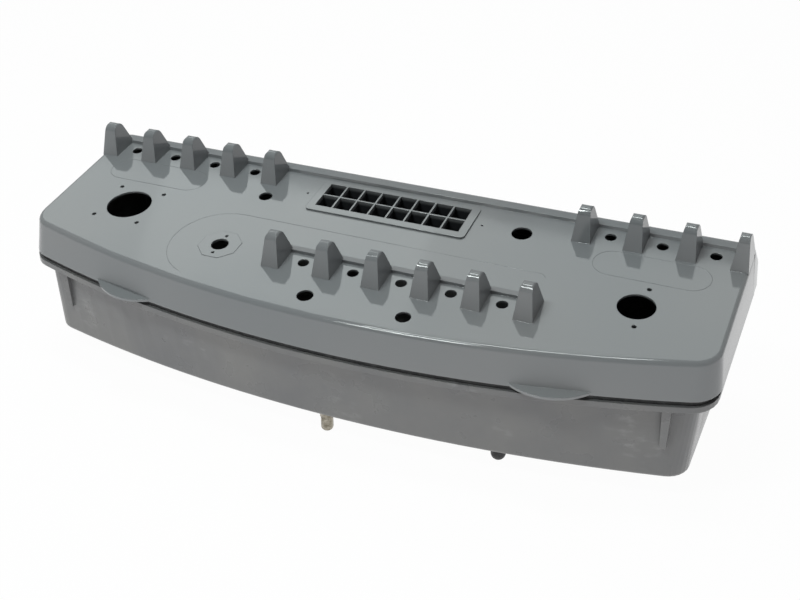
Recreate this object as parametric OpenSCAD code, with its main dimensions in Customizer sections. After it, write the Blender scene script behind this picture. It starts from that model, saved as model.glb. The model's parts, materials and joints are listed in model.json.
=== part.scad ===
// Control console box for a vehicle: a sloping lid with two rows of guarded
// switch holes, hinged at the back to a moulded tub that stands on rubber feet.
// Front is -Y, up is +Z, and z = 0 is the surface that the feet stand on.
// Heights and plan distances are taken from the front switch row.

/* [Case] */
// Width of the deck between its side edges
case_w = 790; // [700:1:900]
// Front switch row to the deck's front edge, in plan
front_reach = 75.9; // [72:0.1:90]
// Front switch row to the deck's rear edge, in plan
rear_reach = 167.1; // [150:0.1:195]
// How far the middle of the bowed front stands ahead of its ends
bow_rise = 57.2; // [40:0.1:65]
// Height of the deck at the front switch row
deck_h = 168; // [160:0.5:185]
// Slope of the deck, rising to the back
deck_tilt = 10.6; // [9:0.1:12]
// Height of the seam between lid and tub at the front switch row
seam_h = 128.5; // [120:0.5:132]
// Slope of the seam
seam_tilt = 7.4; // [6.5:0.1:8.5]
// Height of the tub's underside, which is the height of the feet
floor_h = 25.5; // [23:0.5:32]

/* [Lid] */
// Thickness of the lid's deck and walls
lid_t = 2.5; // [2:0.1:4]
// Rounding of the deck's outer edge
deck_edge_r = 4; // [3:0.5:8]
// Corner radius of the deck at the front, in plan
front_corner_r = 28; // [20:1:40]
// Corner radius of the deck at the back, in plan
rear_corner_r = 14; // [10:1:20]
// How far the lower edge stands out past the deck at the sides
flare_side = 4.9; // [4:0.1:7]
// How far the lower edge stands out past the deck at the front
flare_front = 7.5; // [6:0.1:9]
// How far the lower edge stands out past the deck at the back
flare_back = 28; // [24:0.5:32]
// How far the shoulder of the back wall stands out past the deck
shoulder_out = 26; // [20:0.5:27]
// Depth of that shoulder, as a share of the wall's height
shoulder_at = 0.5; // [0.4:0.05:0.6]
// Width of the inner rim that sits over the gasket
rim_w = 6; // [5:0.1:7]
// Thickness of the inner rim
rim_t = 3; // [2:0.1:4]
// Height of the ledge behind the switches
ledge_h = 3.6; // [2:0.1:5]

/* [Switches] */
// Radius of a switch hole
switch_r = 6.25; // [5:0.05:8]
// Rear switch row to the deck's rear edge, along the deck
rear_margin = 27.6; // [26:0.1:32]
// First switch of the rear left group to the deck's side edge
rear_left_margin = 39.2; // [36:0.1:42]
// Number of switches in the rear left group
rear_left_count = 4; // [3:1:5]
// Last switch of the rear right group to the deck's side edge
rear_right_margin = 36.3; // [34:0.1:40]
// Number of switches in the rear right group
rear_right_count = 3; // [2:1:3]
// Distance between switches in the rear row
rear_pitch = 55.9; // [50:0.1:57]
// Place of the first switch hole of the front row
front_x = -50.7; // [-55:0.1:-45]
// Distance between the first two switches of the front row
front_first_pitch = 58.8; // [55:0.1:62]
// Distance between the other switches of the front row
front_pitch = 55.5; // [50:0.1:57]
// Number of switches in the front row
front_count = 5; // [4:1:5]
// First front switch to the guard beside it
front_end_gap = 31.6; // [28:0.1:33]

/* [Switch guards] */
// Height of a guard over the deck
guard_h = 34; // [28:0.5:38]
// Width of a guard at its base
guard_w = 21; // [18:0.1:23]
// Width that a guard loses for each unit of height
guard_taper = 0.22; // [0.15:0.01:0.3]
// Switch line to the front foot of a guard
guard_front = 19; // [17:0.1:22]
// Switch line to the back foot of a guard
guard_back = 17.5; // [16.5:0.1:20]
// Radius of the crest, seen from the side
crest_r = 9.5; // [6:0.1:10]
// Centre of the crest behind the switch line
crest_back = 0.5; // [0:0.1:2]
// Rounding of the crest's two corners, seen from the front
crest_corner_r = 3.5; // [2:0.1:4]
// Wall of the hollow guards
guard_t = 2.6; // [2:0.1:3]
// Switch line to the step that joins the guards
web_back = 13.9; // [12:0.1:15]
// Depth of the sloping top of the front step
web_run = 11; // [8:0.5:14]

/* [Joysticks and knobs] */
// Radius of the left joystick's hole
stick_left_r = 26.3; // [20:0.1:28]
// Screw circle of the left joystick
stick_left_pcd = 83.04; // [78:0.02:90]
// Radius of the right joystick's hole
stick_right_r = 19.5; // [15:0.1:24]
// Screw circle of the right joystick
stick_right_pcd = 60.3; // [56:0.1:66]
// Radius of a joystick screw hole
stick_screw_r = 2.5; // [1.5:0.05:3]
// Radius of the rotary knob's hole
knob_r = 9.9; // [8:0.1:12]
// Screw circle of the rotary knob
knob_pcd = 31.1; // [29:0.1:34]
// Radius of a knob screw hole
knob_screw_r = 1.9; // [1:0.05:2.4]
// Width across the flats of the raised pad round the knob
knob_pad_w = 46; // [42:0.5:50]
// Height of that pad
knob_pad_h = 0.4; // [0.2:0.1:1]
// Radius of the key switch's hole
key_r = 11.25; // [9:0.05:13]
// Radius of the left lamp's hole
lamp_r = 8; // [6:0.1:10]
// Radius of the first push button's hole
button_left_r = 8.9; // [7:0.1:10]
// Radius of the second push button's hole
button_right_r = 8.2; // [7:0.1:10]
// Radius of the small screw holes beside the lamp grid
pilot_r = 1.3; // [1:0.05:2]

/* [Lamp grid] */
// Number of windows across
grid_cols = 8; // [6:1:8]
// Number of rows of windows
grid_rows = 2; // [2:1:2]
// Window pitch across
grid_pitch_x = 22.1; // [20:0.1:22.5]
// Window pitch along the deck
grid_pitch_y = 22.8; // [20:0.1:23]
// Thickness of the bars
grid_bar = 2; // [1.5:0.1:3]
// Depth of the cells below the deck
grid_depth = 14; // [10:0.5:18]
// Margin of the bezel past the windows at the ends
bezel_end = 9.5; // [7:0.1:12]
// Margin of the bezel past the windows at the front
bezel_front = 9.6; // [7:0.1:12]
// Margin of the bezel past the windows at the back
bezel_back = 6.2; // [5:0.1:7]
// Thickness of the bezel
bezel_t = 1.8; // [1:0.1:2.4]
// Corner radius of the bezel
bezel_corner_r = 5; // [2:0.5:8]
// Clearance round the grid in its cut-out
grid_gap = 0.3; // [0.2:0.05:0.5]

/* [Finger tabs] */
// Place of the two finger tabs, left and right of the middle
tab_x = 246; // [220:1:260]
// How far a tab stands out
tab_out = 13; // [10:0.1:15]
// Width of a tab along the lid's edge
tab_w = 76; // [60:1:84]
// Thickness of a tab
tab_t = 3; // [2:0.1:4]
// Radius of the scoop over a tab
scoop_r = 8; // [6:0.5:10]
// Depth of the scoop in the wall
scoop_d = 1.2; // [0.8:0.1:1.6]

/* [Tub] */
// Thickness of the tub's walls and floor
tub_t = 4; // [3:0.1:5]
// How far the lip stands proud of the lid at the front
lip_proud = 1; // [0.5:0.1:2]
// How far the lip stays back under the lid at the sides
lip_tuck = 1.2; // [0.5:0.1:2]
// Lip edge to the tub's wall
flange_w = 12; // [11:0.1:14]
// How much wider the flange is at the sides
flange_side = 3; // [0:0.1:4]
// Thickness of the lip and of the flange
flange_t = 3.5; // [2.5:0.1:4]
// Depth of the lip below the seam
lip_drop = 12; // [11:0.1:16]
// Depth of the outer ledge below the seam
gap_drop = 5.5; // [4:0.1:6.5]
// Lip edge to the gasket
gasket_in = 3; // [2:0.1:4]
// Width of the gasket
gasket_w = 4.5; // [3:0.1:5]
// Clearance between the lid's rim and the gasket
gasket_gap = 0.3; // [0.2:0.05:0.5]
// How far the floor draws in at the sides
draw_side = 4.2; // [3:0.1:10]
// How far the floor draws in at the front
draw_front = 5.9; // [4:0.1:8]
// How far the floor draws in at the back
draw_back = 8.6; // [6:0.1:12]
// How much flatter the bow is at the floor, as an addition to its radius
floor_bow_add = 220; // [0:10:300]
// Rounding of the tub's lower edge
floor_edge_r = 4; // [4:0.5:9]
// Left gusset to the deck's side edge
gusset_left_margin = 46; // [40:1:60]
// Right gusset to the deck's side edge
gusset_right_margin = 40; // [38:1:60]
// Thickness of a gusset at the top
gusset_t = 9.9; // [7:0.1:11]
// Thickness of a gusset at the bottom
gusset_low_t = 6.5; // [4:0.1:8]
// How far a gusset's lower end stands out from the wall
gusset_tip = 3.5; // [2:0.1:6]
// Depth of a gusset below the seam
gusset_drop = 62; // [50:1:70]

/* [Hinges] */
// Place of the two hinges, left and right of the middle
hinge_x = 250; // [200:1:300]
// Width of a hinge leaf
leaf_w = 60; // [50:1:76]
// Length of the tub's hinge leaf from the pin
leaf_l = 30; // [26:0.5:34]
// Length of the lid's hinge leaf from the pin
lid_leaf_l = 24; // [21:0.5:26]
// Thickness of a hinge leaf
leaf_t = 1.5; // [1.2:0.1:2]
// Radius of the knuckles
knuckle_r = 4; // [3.5:0.1:4.5]
// Radius of the hinge pin
pin_r = 2; // [1.5:0.05:2.3]
// Radial clearance of the pin in its knuckles
pin_gap = 0.05; // [0.02:0.01:0.08]
// Gap between neighbouring knuckles
knuckle_gap = 0.3; // [0.2:0.05:0.5]
// Gap between the knuckles and the wall
barrel_gap = 0.3; // [0.2:0.05:0.6]
// Thickness of the pin's heads
pin_head_t = 1.2; // [0.8:0.1:2]
// Height of the moulded pad behind each hinge, below the seam
pad_drop = 42; // [38:0.5:46]

/* [Fasteners] */
// Radius of the hinge screws
screw_r = 2; // [1.5:0.05:2.2]
// Pin to the hinge screws, along the tub's leaf
screw_run = 18; // [16:0.5:20]
// Pin to the hinge screws, along the lid's leaf
lid_screw_run = 14.5; // [13:0.5:16]
// Distance between the two screws of a leaf
screw_span = 40; // [30:1:44]
// Radius of the foot screws
foot_screw_r = 2.5; // [2:0.05:3]
// Clearance of a screw in its hole
screw_gap = 0.2; // [0.1:0.05:0.3]

/* [Feet and cable fittings] */
// Feet to the deck's side edges
foot_margin = 95; // [80:1:120]
// Place of the front feet behind the front switch row
foot_front_y = 12; // [8:0.5:20]
// Place of the rear feet behind the front switch row
foot_rear_y = 138; // [120:0.5:145]
// Radius of a foot at the tub
foot_r = 12; // [10:0.5:14]
// Taper of a foot, as the loss of radius at the ground
foot_taper = 2; // [1:0.1:3]
// Place of the cable gland ahead of the front switch row
gland_front = 54.4; // [52:0.1:55]
// Width across the flats of the gland's hexagon
gland_af = 13; // [11:0.1:14]
// Height of the gland's tip over the ground
gland_tip_h = 0.6; // [0.4:0.1:3]
// Place of the blind grommet to the right of the middle
grommet_x = 191.4; // [180:0.1:200]
// Place of the blind grommet ahead of the front switch row
grommet_front = 40.5; // [36:0.1:41]
// Radius of the blind grommet's sleeve
grommet_r = 8; // [6:0.1:8.5]
// Length of the blind grommet below the tub
grommet_l = 16.5; // [12:0.5:18]

/* [Hidden] */
$fn = 48;

// Colours as the photograph shows them
lid_grey = [0.50, 0.53, 0.54];
tub_grey = [0.40, 0.41, 0.42];
rubber_black = [0.06, 0.06, 0.06];
zinc = [0.68, 0.69, 0.70];
nickel = [0.60, 0.58, 0.53];

// A small overlap that lets a cut run clear of a face
over = 1;

// The bow of the deck's front edge
half_w = case_w / 2;
bow_r = (half_w * half_w + bow_rise * bow_rise) / (2 * bow_rise);

// Steps of the plan outline: bow, front corner, rear corner
bow_steps = 28;
front_corner_steps = 6;
rear_corner_steps = 4;

// Heights of the two sloping planes over a plan distance
function deck_z(y) = deck_h + tan(deck_tilt) * y;
function seam_z(y) = seam_h + tan(seam_tilt) * y;

// Front row to rear row, along the deck
row_gap = rear_reach / cos(deck_tilt) - rear_margin;

// The ledge behind the switches starts at a small sloping step
ledge_start = row_gap + web_back;
ledge_lift = ledge_h / cos(deck_tilt);
step_draft = 0.6;
step_y = ledge_start * cos(deck_tilt);
outer_steps = [step_y, step_y + step_draft];
inner_steps = [step_y + lid_t, step_y + lid_t + step_draft];
tub_steps = [step_y / 2, step_y / 2 + step_draft];
function top_z(y, steps) = deck_z(y) + (y > (steps[0] + steps[1]) / 2 ? ledge_lift : 0);

// Wall heights of the lid at the sides, front and back, for its lean
flare = [flare_side, flare_front, flare_back];
lid_wall = [
    deck_z(0) - seam_z(0),
    deck_z(-front_reach) - seam_z(-front_reach - flare_front),
    deck_z(rear_reach) + ledge_lift - seam_z(rear_reach + flare_back)
];

// Growth of the lid's outline for each unit of depth, down to the back shoulder
shoulder_drop = shoulder_at * lid_wall[2];
lean = [flare_side / lid_wall[0], flare_front / lid_wall[1], shoulder_out / shoulder_drop];
low_lean = (flare_back - shoulder_out) / (lid_wall[2] - shoulder_drop);

// The lip's outer edge against the deck outline: sides, front, back
lip = [flare_side - lip_tuck, flare_front + lip_proud, flare_back];

// Points along an arc, from one angle to another
function arc(cx, cy, r, from, to, count, skip_first = false, skip_last = false) =
    [for (i = [(skip_first ? 1 : 0) : count - (skip_last ? 1 : 0)])
        let (a = from + (to - from) * i / count)
        [cx + r * cos(a), cy + r * sin(a)]];

// A small turn that keeps the first rear corner point clear of the ledge's step
step_turn = 1;

// Plan outline, anticlockwise from the left end of the bow.
// grow moves the sides, front and back outwards, steps are the two ledge points.
function outline(grow, front_r, rear_r, steps, bow_add = 0) =
    let (
        w = half_w + grow[0],
        front_y = -front_reach - grow[1],
        back_y = rear_reach + grow[2],
        big_r = bow_r + grow[1] + bow_add,
        corner_x = w - front_r,
        bow_y = front_y + big_r,
        corner_y = bow_y - sqrt(pow(big_r - front_r, 2) - corner_x * corner_x),
        phi = asin(corner_x / (big_r - front_r)),
        rear_x = w - rear_r,
        rear_y = back_y - rear_r,
        low_turn = asin(max(0, steps[0] - rear_y) / rear_r),
        high_turn = asin(max(0, steps[1] - rear_y) / rear_r),
        low_x = rear_x + rear_r * cos(low_turn),
        high_x = rear_x + rear_r * cos(high_turn)
    )
    concat(
        arc(0, bow_y, big_r, -90 - phi, -90 + phi, bow_steps),
        arc(corner_x, corner_y, front_r, -90 + phi, 0, front_corner_steps, skip_first = true),
        [[low_x, steps[0]], [high_x, steps[1]]],
        arc(rear_x, rear_y, rear_r, high_turn + step_turn, 90, rear_corner_steps),
        arc(-rear_x, rear_y, rear_r, 90, 180 - high_turn - step_turn, rear_corner_steps),
        [[-high_x, steps[1]], [-low_x, steps[0]]],
        arc(-corner_x, corner_y, front_r, 180, 270 - phi, front_corner_steps, skip_last = true)
    );

// Places in that outline: the right step, the left step and the point count
right_low = bow_steps + 1 + front_corner_steps;
left_high = right_low + 2 + 2 * (rear_corner_steps + 1);
ring_count = left_high + 2 + front_corner_steps;

// Faces between neighbouring rings
function skin(ring_total, first = 0) =
    [for (i = [first : ring_total - 2], j = [0 : ring_count - 1])
        let (k = (j + 1) % ring_count, a = i * ring_count, b = a + ring_count)
        each [[a + j, a + k, b + k], [a + j, b + k, b + j]]];

// A flat cap, and a cap in two levels with the step between them
function flat_cap(base, up) =
    [[for (j = [0 : ring_count - 1]) base + (up ? ring_count - 1 - j : j)]];
function turned(face, up) = up ? [for (i = [len(face) - 1 : -1 : 0]) face[i]] : face;
function stepped_cap(base, up) =
    let (
        low = concat(
            [for (j = [0 : right_low]) base + j],
            [for (j = [left_high + 1 : ring_count - 1]) base + j]
        ),
        high = [for (j = [right_low + 1 : left_high]) base + j],
        riser = [base + right_low, base + right_low + 1, base + left_high, base + left_high + 1]
    )
    [turned(low, up), turned(high, up), turned(riser, up)];

// Solid through a list of rings, from the face that looks up to the face that looks down
module loft(rings, stepped = false) {
    total = len(rings);
    last = (total - 1) * ring_count;
    ends = stepped
        ? concat(stepped_cap(0, true), stepped_cap(last, false))
        : concat(flat_cap(0, true), flat_cap(last, false));
    polyhedron(points = [for (r = rings) each r], faces = concat(ends, skin(total)), convexity = 8);
}

// Closed band: the last ring joins the first
module band(rings) {
    loop = concat(rings, [rings[0]]);
    polyhedron(points = [for (r = loop) each r], faces = skin(len(loop)), convexity = 8);
}

// Lid rings: at a depth below the deck, along the shoulder, or at a height over the seam
function lid_top_ring(inset, drop, steps) =
    [for (p = outline([for (k = [0 : 2]) lean[k] * drop - inset],
            front_corner_r - inset, rear_corner_r - inset, steps))
        [p[0], p[1], top_z(p[1], steps) - drop]];
function lid_shoulder_ring(inset, steps) =
    let (wider = flare_side * shoulder_at - inset)
    [for (p = outline([wider, flare_front * shoulder_at - inset, shoulder_out - inset],
            front_corner_r + wider, rear_corner_r + wider, steps))
        [p[0], p[1], top_z(p[1], steps) * (1 - shoulder_at) + seam_z(p[1]) * shoulder_at]];
function lid_seam_ring(inset, rise, steps) =
    let (in = [lean[0] * rise + inset, lean[1] * rise + inset, low_lean * rise + inset])
    [for (p = outline(flare - in,
            front_corner_r + flare_side - inset, rear_corner_r + flare_side - inset, steps))
        [p[0], p[1], seam_z(p[1]) + rise]];

// Tub rings: on the flange, and at a height over the ground with a share of the draw
tub_corner_front = front_corner_r + lip[0];
tub_corner_rear = rear_corner_r + lip[0];
function flange_ring(inset, drop, narrow = 0) =
    [for (p = outline([lip[0] - inset - narrow, lip[1] - inset, lip[2] - inset],
            tub_corner_front - inset, tub_corner_rear - inset, tub_steps))
        [p[0], p[1], seam_z(p[1]) - drop]];
draw = [flange_side + draw_side, draw_front, draw_back];
function floor_ring(inset, z) =
    [for (p = outline([for (k = [0 : 2]) lip[k] - flange_w - draw[k] - inset],
            tub_corner_front - flange_w + draw_front - inset,
            tub_corner_rear - flange_w + draw_front - inset, tub_steps, floor_bow_add))
        [p[0], p[1], z]];

// Frames on the deck and on the seam, with the front switch row at y = 0
module on_deck() {
    translate([0, 0, deck_h]) rotate([deck_tilt, 0, 0]) children();
}
module on_seam(x, y) {
    translate([x, y, seam_z(y)]) rotate([seam_tilt, 0, 0]) children();
}

// The back wall of the lid and the hinge line
rear_seam = [rear_reach + flare_back, seam_z(rear_reach + flare_back)];
shoulder_y = rear_reach + shoulder_out;
shoulder_z = top_z(shoulder_y, outer_steps) * (1 - shoulder_at) + seam_z(shoulder_y) * shoulder_at;
rear_lean = atan((rear_seam[0] - shoulder_y) / (shoulder_z - rear_seam[1]));
pin_out = knuckle_r + barrel_gap;
pin_y = rear_seam[0] + pin_out;
pin_z = rear_seam[1] + pin_out * (1 - cos(rear_lean)) / sin(rear_lean);
seat_gap = 0.1;
lid_wall_across = lid_t + seat_gap;

// The part is centred on its depth from the front of the lip to the hinge knuckles
lip_front_y = -front_reach - lip[1];
mid_y = (lip_front_y + pin_y + knuckle_r) / 2;
module placed() {
    translate([0, -mid_y, 0]) children();
}

// Switch holes and guards, as places along the two rows
rear_left_holes = [for (i = [0 : rear_left_count - 1]) rear_left_margin - half_w + i * rear_pitch];
rear_right_holes = [for (i = [rear_right_count - 1 : -1 : 0]) half_w - rear_right_margin - i * rear_pitch];
front_holes = [for (i = [0 : front_count - 1])
    i == 0 ? front_x : front_x + front_first_pitch + (i - 1) * front_pitch];
function guards_between(holes, first_gap, last_gap) = concat(
    [holes[0] - first_gap],
    [for (i = [0 : len(holes) - 2]) (holes[i] + holes[i + 1]) / 2],
    [holes[len(holes) - 1] + last_gap]
);
rear_guards = concat(
    guards_between(rear_left_holes, rear_pitch / 2, rear_pitch / 2),
    guards_between(rear_right_holes, rear_pitch / 2, rear_pitch / 2)
);
front_guards = guards_between(front_holes, front_end_gap, front_pitch / 2);

// Joysticks, knob, key and buttons: places on the deck
stick_left = [95.7 - half_w, 38.2];
stick_right = [half_w - 93.2, 38.3];
stick_right_screws = [half_w - 87.8, 38.2];
knob_at = [-155.4, 1.5];
key_at = [154.5, row_gap - 21.8];
lamp_at = [-151.3, row_gap - 41.7];
button_left_at = [-23.7, -49.6];
button_right_at = [87.1, -49.6];

// Lamp grid: window field and bezel, places on the deck
grid_first = [-76.4, row_gap - 31.4];
grid_clear = [grid_pitch_x - grid_bar, grid_pitch_y - grid_bar];
grid_low = [grid_first[0] - grid_clear[0] / 2, grid_first[1] - grid_clear[1] / 2];
grid_size = [(grid_cols - 1) * grid_pitch_x + grid_clear[0], (grid_rows - 1) * grid_pitch_y + grid_clear[1]];
grid_high = grid_low + grid_size;
cell_wall = grid_bar;
pilot_gap = 10.5;
pilot_y = row_gap - 21;

// Point where a line from a foot touches a circle, on its left or right side
function touch(foot, centre, r, side) =
    let (
        d = centre - foot,
        reach = norm(d),
        run = sqrt(reach * reach - r * r),
        a = atan2(d[1], d[0]) + side * asin(r / reach)
    )
    foot + run * [cos(a), sin(a)];

// Arc about a centre from one point on it to another, over the top
function bend(centre, r, from, to, count) =
    let (
        start = atan2(from[1] - centre[1], from[0] - centre[0]),
        end = atan2(to[1] - centre[1], to[0] - centre[0])
    )
    arc(centre[0], centre[1], r, start, end, count);
crest_steps = 8;
corner_steps = 4;

// Feet and crest of a guard seen from the side, in the plane of y and height over the deck
function side_feet(inset) = [[-guard_front + inset, 0], [guard_back - inset, ledge_h]];
crest_at = [crest_back, guard_h - crest_r];
module guard_side(root) {
    feet = side_feet(0);
    front = touch(feet[0], crest_at, crest_r, 1);
    back = touch(feet[1], crest_at, crest_r, -1);
    polygon(concat(
        [[feet[0][0], -root], feet[0]],
        bend(crest_at, crest_r, front, back, crest_steps),
        [feet[1], [feet[1][0], -root]]
    ));
}

// Half widths of a guard on the side that faces away from the middle of the lid, and on the
// other side. A guard at the deck's end is cut off in line with the lid's side.
function guard_half(x, z, outer) =
    let (own = guard_w / 2 - guard_taper / 2 * z)
    outer ? min(own, half_w - abs(x) - lean[0] * z) : own;
function at_end(x) = abs(x) + guard_w / 2 > half_w - deck_edge_r;

// Guard seen from the front, with +x on the side that faces away from the middle
module guard_face(x, root) {
    out_r = at_end(x) ? crest_corner_r / 3 : crest_corner_r;
    out_at = [guard_half(x, guard_h, true) - out_r, guard_h - out_r];
    in_at = [crest_corner_r - guard_half(x, guard_h, false), guard_h - crest_corner_r];
    out_foot = [guard_half(x, 0, true), 0];
    in_foot = [-guard_half(x, 0, false), 0];
    polygon(concat(
        [[in_foot[0], -root], [out_foot[0], -root], out_foot],
        bend(out_at, out_r, touch(out_foot, out_at, out_r, -1), out_at + [0, out_r], corner_steps),
        bend(in_at, crest_corner_r, in_at + [0, crest_corner_r],
            touch(in_foot, in_at, crest_corner_r, 1), corner_steps),
        [in_foot]
    ));
}

// One guard at a place in its row
module guard(x, root) {
    deep = at_end(x) ? root + deck_edge_r : root;
    translate([x, 0, 0]) intersection() {
        rotate([90, 0, 90]) translate([0, 0, -guard_w])
            linear_extrude(2 * guard_w) guard_side(deep);
        rotate([90, 0, 0]) translate([0, 0, -2 * guard_front])
            linear_extrude(4 * guard_front) mirror([x < 0 ? 1 : 0, 0]) guard_face(x, deep);
    }
}

// The hollow of a guard, open to the inside of the lid
module guard_core(x) {
    root = lid_t + over + (at_end(x) ? deck_edge_r : 0);
    feet = side_feet(guard_t);
    r = crest_r - guard_t;
    top = guard_h - guard_t;
    cut = crest_corner_r / 2;
    out_low = guard_half(x, 0, true) - guard_t;
    out_high = guard_half(x, top, true) - guard_t;
    in_low = guard_half(x, 0, false) - guard_t;
    in_high = guard_half(x, top, false) - guard_t;
    front = touch(feet[0], crest_at, r, 1);
    back = touch(feet[1], crest_at, r, -1);
    translate([x, 0, 0]) intersection() {
        rotate([90, 0, 90]) translate([0, 0, -guard_w]) linear_extrude(2 * guard_w)
            polygon([
                [feet[0][0], -root], feet[0], front, crest_at + r * [-0.7, 0.7],
                crest_at + r * [0.7, 0.7], back, feet[1], [feet[1][0], -root]
            ]);
        rotate([90, 0, 0]) translate([0, 0, -2 * guard_front]) linear_extrude(4 * guard_front)
            mirror([x < 0 ? 1 : 0, 0]) polygon([
                [-in_low, -root], [out_low, -root], [out_low, 0], [out_high, top - cut],
                [out_high - cut, top], [cut - in_high, top], [-in_high, top - cut], [-in_low, 0]
            ]);
    }
}

module guards() {
    for (x = front_guards) guard(x, lid_t / 2);
    for (x = rear_guards) translate([0, row_gap, 0]) guard(x, lid_t / 2);
}
module guard_cores() {
    for (x = front_guards) guard_core(x);
    for (x = rear_guards) translate([0, row_gap, 0]) guard_core(x);
}

// Low step that joins the front guards, falling back to the deck behind
module front_web() {
    first = front_guards[0];
    last = front_guards[len(front_guards) - 1];
    root = lid_t / 2;
    translate([first, 0, 0]) rotate([90, 0, 90]) linear_extrude(last - first)
        polygon([
            [web_back, -root], [web_back, ledge_h],
            [web_back + web_run, 0], [web_back + web_run, -root]
        ]);
}

// A round hole through the deck, and a circle of them
through = 30;
// The seam of each hole's wall is turned out of its row, so that no two lie in one plane
seam_turn = 20;
module deck_hole(at, r) {
    translate([at[0], at[1], -through]) rotate(seam_turn) cylinder(r = r, h = 2 * through);
}
module deck_hole_circle(at, pcd, count, from, r) {
    for (i = [0 : count - 1]) {
        a = from + 360 * i / count;
        deck_hole(at + pcd / 2 * [cos(a), sin(a)], r);
    }
}

module deck_holes() {
    for (x = front_holes) deck_hole([x, 0], switch_r);
    for (x = concat(rear_left_holes, rear_right_holes)) deck_hole([x, row_gap], switch_r);
    deck_hole(stick_left, stick_left_r);
    deck_hole_circle(stick_left, stick_left_pcd, 4, 45, stick_screw_r);
    deck_hole(stick_right, stick_right_r);
    deck_hole_circle(stick_right_screws, stick_right_pcd, 2, 90, stick_screw_r);
    deck_hole(knob_at, knob_r);
    deck_hole_circle(knob_at, knob_pcd, 2, 90, knob_screw_r);
    deck_hole(key_at, key_r);
    deck_hole(lamp_at, lamp_r);
    deck_hole(button_left_at, button_left_r);
    deck_hole(button_right_at, button_right_r);
    for (x = [grid_low[0] - bezel_end - pilot_gap, grid_high[0] + bezel_end + pilot_gap])
        deck_hole([x, pilot_y], pilot_r);
}

// Raised pad round the knob's hole, with eight sides
module knob_pad() {
    half_side = 180 / 8;
    translate([knob_at[0], knob_at[1], -lid_t / 2]) rotate(half_side)
        cylinder(r = knob_pad_w / 2 / cos(half_side), h = lid_t / 2 + knob_pad_h, $fn = 8);
}

// Cut-out that takes the lamp grid's cells
module grid_cutout() {
    margin = cell_wall + grid_gap;
    translate([grid_low[0] - margin, grid_low[1] - margin, -through])
        cube([grid_size[0] + 2 * margin, grid_size[1] + 2 * margin, 2 * through]);
}

// The lid's wall at a tab: its place in plan and its turn
tab_turn = asin(tab_x / (bow_r + flare_front));
tab_root = 2;
tab_wall_y = -front_reach - flare_front + (bow_r + flare_front) * (1 - cos(tab_turn));

// Half-moon tab: the part of a disc outside a chord
module finger_tab() {
    disc_r = (tab_out * tab_out + tab_w * tab_w / 4) / (2 * tab_out);
    linear_extrude(tab_t) intersection() {
        translate([0, disc_r - tab_out]) circle(disc_r, $fn = 96);
        translate([-tab_w, -2 * tab_out]) square([2 * tab_w, 2 * tab_out + tab_root]);
    }
}

// Shallow hollow in the wall over a tab, for the fingertips
module tab_scoop() {
    length = tab_w * 1.08;
    intersection() {
        translate([0, scoop_d - scoop_r, tab_t + scoop_r / 2]) rotate([0, 90, 0])
            cylinder(r = scoop_r, h = length, center = true);
        translate([-length, -2 * scoop_r, tab_t]) cube([2 * length, 3 * scoop_r, 2 * scoop_r]);
    }
}

// Everything at a tab's place: x to the right along the wall, -y outwards
module at_tab(side) {
    on_seam(side * tab_x, tab_wall_y) rotate(side * tab_turn) children();
}

// Screw places of a hinge, as x distances
screw_places = [-screw_span / 2, screw_span / 2];

// Frames on the hinge line: the lid's leaf leans with the wall, the tub's hangs straight
module at_lid_leaf(x) {
    translate([x, pin_y, pin_z]) rotate([rear_lean, 0, 0]) children();
}
module at_tub_leaf(x) {
    translate([x, pin_y, pin_z]) children();
}

// A cylinder along +Y through a wall
module hole_y(x, z, r, from, to) {
    translate([x, from, z]) rotate([-90, 0, 0]) cylinder(r = r, h = to - from);
}

module lid() {
    rounding = [for (a = [0, 22.5, 45, 67.5, 90])
        [deck_edge_r * (1 - sin(a)), deck_edge_r * (1 - cos(a))]];
    inner_r = max(deck_edge_r - lid_t, 1);
    color(lid_grey) difference() {
        union() {
            loft(concat(
                [for (q = rounding) lid_top_ring(q[0], q[1], outer_steps)],
                [
                    lid_shoulder_ring(0, outer_steps),
                    lid_seam_ring(0, 0, outer_steps),
                    lid_seam_ring(lid_t + rim_w, 0, inner_steps),
                    lid_seam_ring(lid_t + rim_w, rim_t, inner_steps),
                    lid_seam_ring(lid_t, rim_t, inner_steps),
                    lid_shoulder_ring(lid_t, inner_steps),
                    lid_top_ring(lid_t, lid_t + inner_r, inner_steps),
                    lid_top_ring(lid_t + inner_r, lid_t, inner_steps)
                ]
            ), stepped = true);
            on_deck() {
                guards();
                front_web();
                knob_pad();
            }
            for (side = [-1, 1]) at_tab(side) finger_tab();
        }
        on_deck() {
            guard_cores();
            deck_holes();
            grid_cutout();
        }
        for (side = [-1, 1]) at_tab(side) tab_scoop();
        for (side = [-1, 1], x = screw_places) at_lid_leaf(side * hinge_x)
            hole_y(x, lid_screw_run, screw_r + screw_gap, -pin_out - lid_t - over, -pin_out + over);
    }
}

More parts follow.
